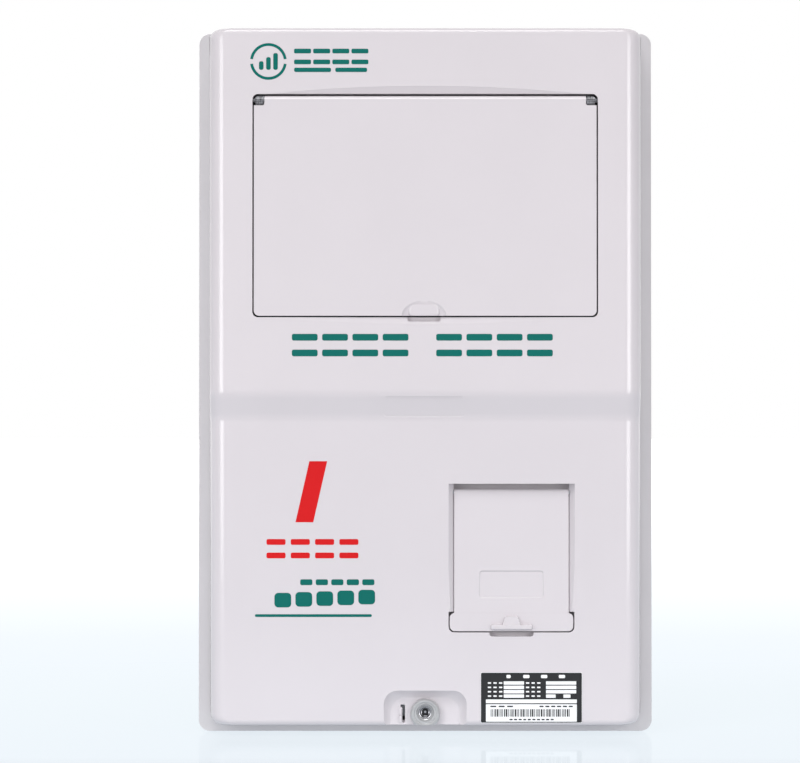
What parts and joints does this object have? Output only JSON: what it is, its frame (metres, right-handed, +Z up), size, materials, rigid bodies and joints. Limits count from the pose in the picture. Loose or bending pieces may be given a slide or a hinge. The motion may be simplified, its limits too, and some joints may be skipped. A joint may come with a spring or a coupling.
{
  "type": "meter enclosure",
  "caption": "wall-mounted two-position electric meter enclosure with top-hung cover, window flap, breaker flap, key lock and fitted meters",
  "frame": {"origin": "centre of the four wall bolts, on the back face", "axes": "+X to the right seen from the front, +Y into the wall, +Z up; the front faces -Y"},
  "size_m": [0.362, 0.15, 0.558],
  "materials": {
    "shell_grey": "fine-grained moulded plastic, cool light grey",
    "shell_white": "smooth semi-gloss moulded plastic, off-white with a faint lilac cast",
    "rubber_black": "soft matt seal rubber",
    "zinc_steel": "bright zinc-plated steel",
    "meter_case_plastic": "dark grey moulded plastic",
    "meter_front_plastic": "light grey glossy moulded plastic",
    "circuit_board": "green solder-masked board",
    "display_glass": "grey-green liquid crystal glass",
    "black_plastic": "black phenolic plastic",
    "brass": "plain drawn brass",
    "button_plastic": "blue moulded plastic",
    "device_plastic": "light grey switchgear plastic",
    "wire_red": "red insulation",
    "wire_blue": "blue insulation",
    "clear_plastic": "clear polycarbonate sheet",
    "label_stock": "white printed plate with black rules",
    "lock_plastic": "pale grey lock bezel",
    "lock_metal": "satin nickel-plated lock barrel",
    "smoke_plastic": "translucent smoke-grey plastic"
  },
  "bodies": {
    "base": {"base_box": "shell_grey", "gasket": "rubber_black", "cable_grommets": "rubber_black", "mounting_plate": "zinc_steel", "plate_screws": "zinc_steel", "din_rail": "zinc_steel", "rail_brackets": "zinc_steel", "rail_screws": "zinc_steel", "lock_catch": "zinc_steel", "catch_screw": "zinc_steel", "meter_screws": "zinc_steel", "device_screws": "zinc_steel", "bar_screws": "zinc_steel", "left_cover_screws": "zinc_steel", "right_cover_screws": "zinc_steel", "left_meter_case": "meter_case_plastic", "right_meter_case": "meter_case_plastic", "left_meter_front": "meter_front_plastic", "right_meter_front": "meter_front_plastic", "left_terminal_cover": "meter_front_plastic", "right_terminal_cover": "meter_front_plastic", "left_meter_board": "circuit_board", "right_meter_board": "circuit_board", "left_meter_display": "display_glass", "right_meter_display": "display_glass", "left_terminal_block": "black_plastic", "right_terminal_block": "black_plastic", "bar_stands": "black_plastic", "left_terminal_screws": "brass", "right_terminal_screws": "brass", "neutral_bar": "brass", "earth_bar": "brass", "isolator_body": "device_plastic", "breaker_a_body": "device_plastic", "breaker_b_body": "device_plastic", "live_wires": "wire_red", "neutral_wires": "wire_blue"},
    "cover": {"front_cover": "shell_white", "hinge_pins": "zinc_steel", "window_pane": "clear_plastic", "pane_frame": "shell_white", "pane_screws": "zinc_steel", "nameplate": "label_stock", "lock_bezel": "lock_plastic", "lock_nut": "zinc_steel"},
    "window_flap": {"window_flap": "shell_white", "flap_knuckles": "smoke_plastic"},
    "breaker_flap": {"breaker_flap": "shell_white", "breaker_flap_pins": "zinc_steel"},
    "lock": {"lock_barrel": "lock_metal", "lock_cam": "zinc_steel", "cam_screw": "zinc_steel"},
    "isolator_toggle": {"isolator_toggle": "black_plastic"},
    "breaker_a_toggle": {"breaker_a_toggle": "black_plastic"},
    "breaker_b_toggle": {"breaker_b_toggle": "black_plastic"},
    "left_page_button": {"left_page_button": "button_plastic"},
    "left_set_button": {"left_set_button": "button_plastic"},
    "right_page_button": {"right_page_button": "button_plastic"},
    "right_set_button": {"right_set_button": "button_plastic"}
  },
  "joints": [
    {"name": "cover_hinge", "type": "hinge", "parent": "base", "child": "cover", "pos_m": [0, -0.1036, 0.269], "axis": [-1, 0, 0], "range_deg": [0, 90]},
    {"name": "window_flap_hinge", "type": "hinge", "parent": "cover", "child": "window_flap", "pos_m": [0, -0.1464, 0.2202], "axis": [-1, 0, 0], "range_deg": [0, 97]},
    {"name": "breaker_flap_hinge", "type": "hinge", "parent": "cover", "child": "breaker_flap", "pos_m": [0.0679, -0.1312, -0.0875], "axis": [-1, 0, 0], "range_deg": [0, 100]},
    {"name": "lock_turn", "type": "hinge", "parent": "cover", "child": "lock", "pos_m": [0, -0.118, -0.2612], "axis": [0, -1, 0], "range_deg": [0, 90]},
    {"name": "isolator_switch", "type": "hinge", "parent": "base", "child": "isolator_toggle", "pos_m": [-0.08, -0.113, -0.14], "axis": [1, 0, 0], "range_deg": [0, 50]},
    {"name": "breaker_a_switch", "type": "hinge", "parent": "base", "child": "breaker_a_toggle", "pos_m": [0.049, -0.113, -0.14], "axis": [1, 0, 0], "range_deg": [0, 50]},
    {"name": "breaker_b_switch", "type": "hinge", "parent": "base", "child": "breaker_b_toggle", "pos_m": [0.085, -0.113, -0.14], "axis": [1, 0, 0], "range_deg": [0, 50]},
    {"name": "left_page_press", "type": "slide", "parent": "base", "child": "left_page_button", "axis": [0, 1, 0], "range_m": [0, 0.0012], "stiffness_N_per_m": 300},
    {"name": "left_set_press", "type": "slide", "parent": "base", "child": "left_set_button", "axis": [0, 1, 0], "range_m": [0, 0.0012], "stiffness_N_per_m": 300},
    {"name": "right_page_press", "type": "slide", "parent": "base", "child": "right_page_button", "axis": [0, 1, 0], "range_m": [0, 0.0012], "stiffness_N_per_m": 300},
    {"name": "right_set_press", "type": "slide", "parent": "base", "child": "right_set_button", "axis": [0, 1, 0], "range_m": [0, 0.0012], "stiffness_N_per_m": 300}
  ]
}
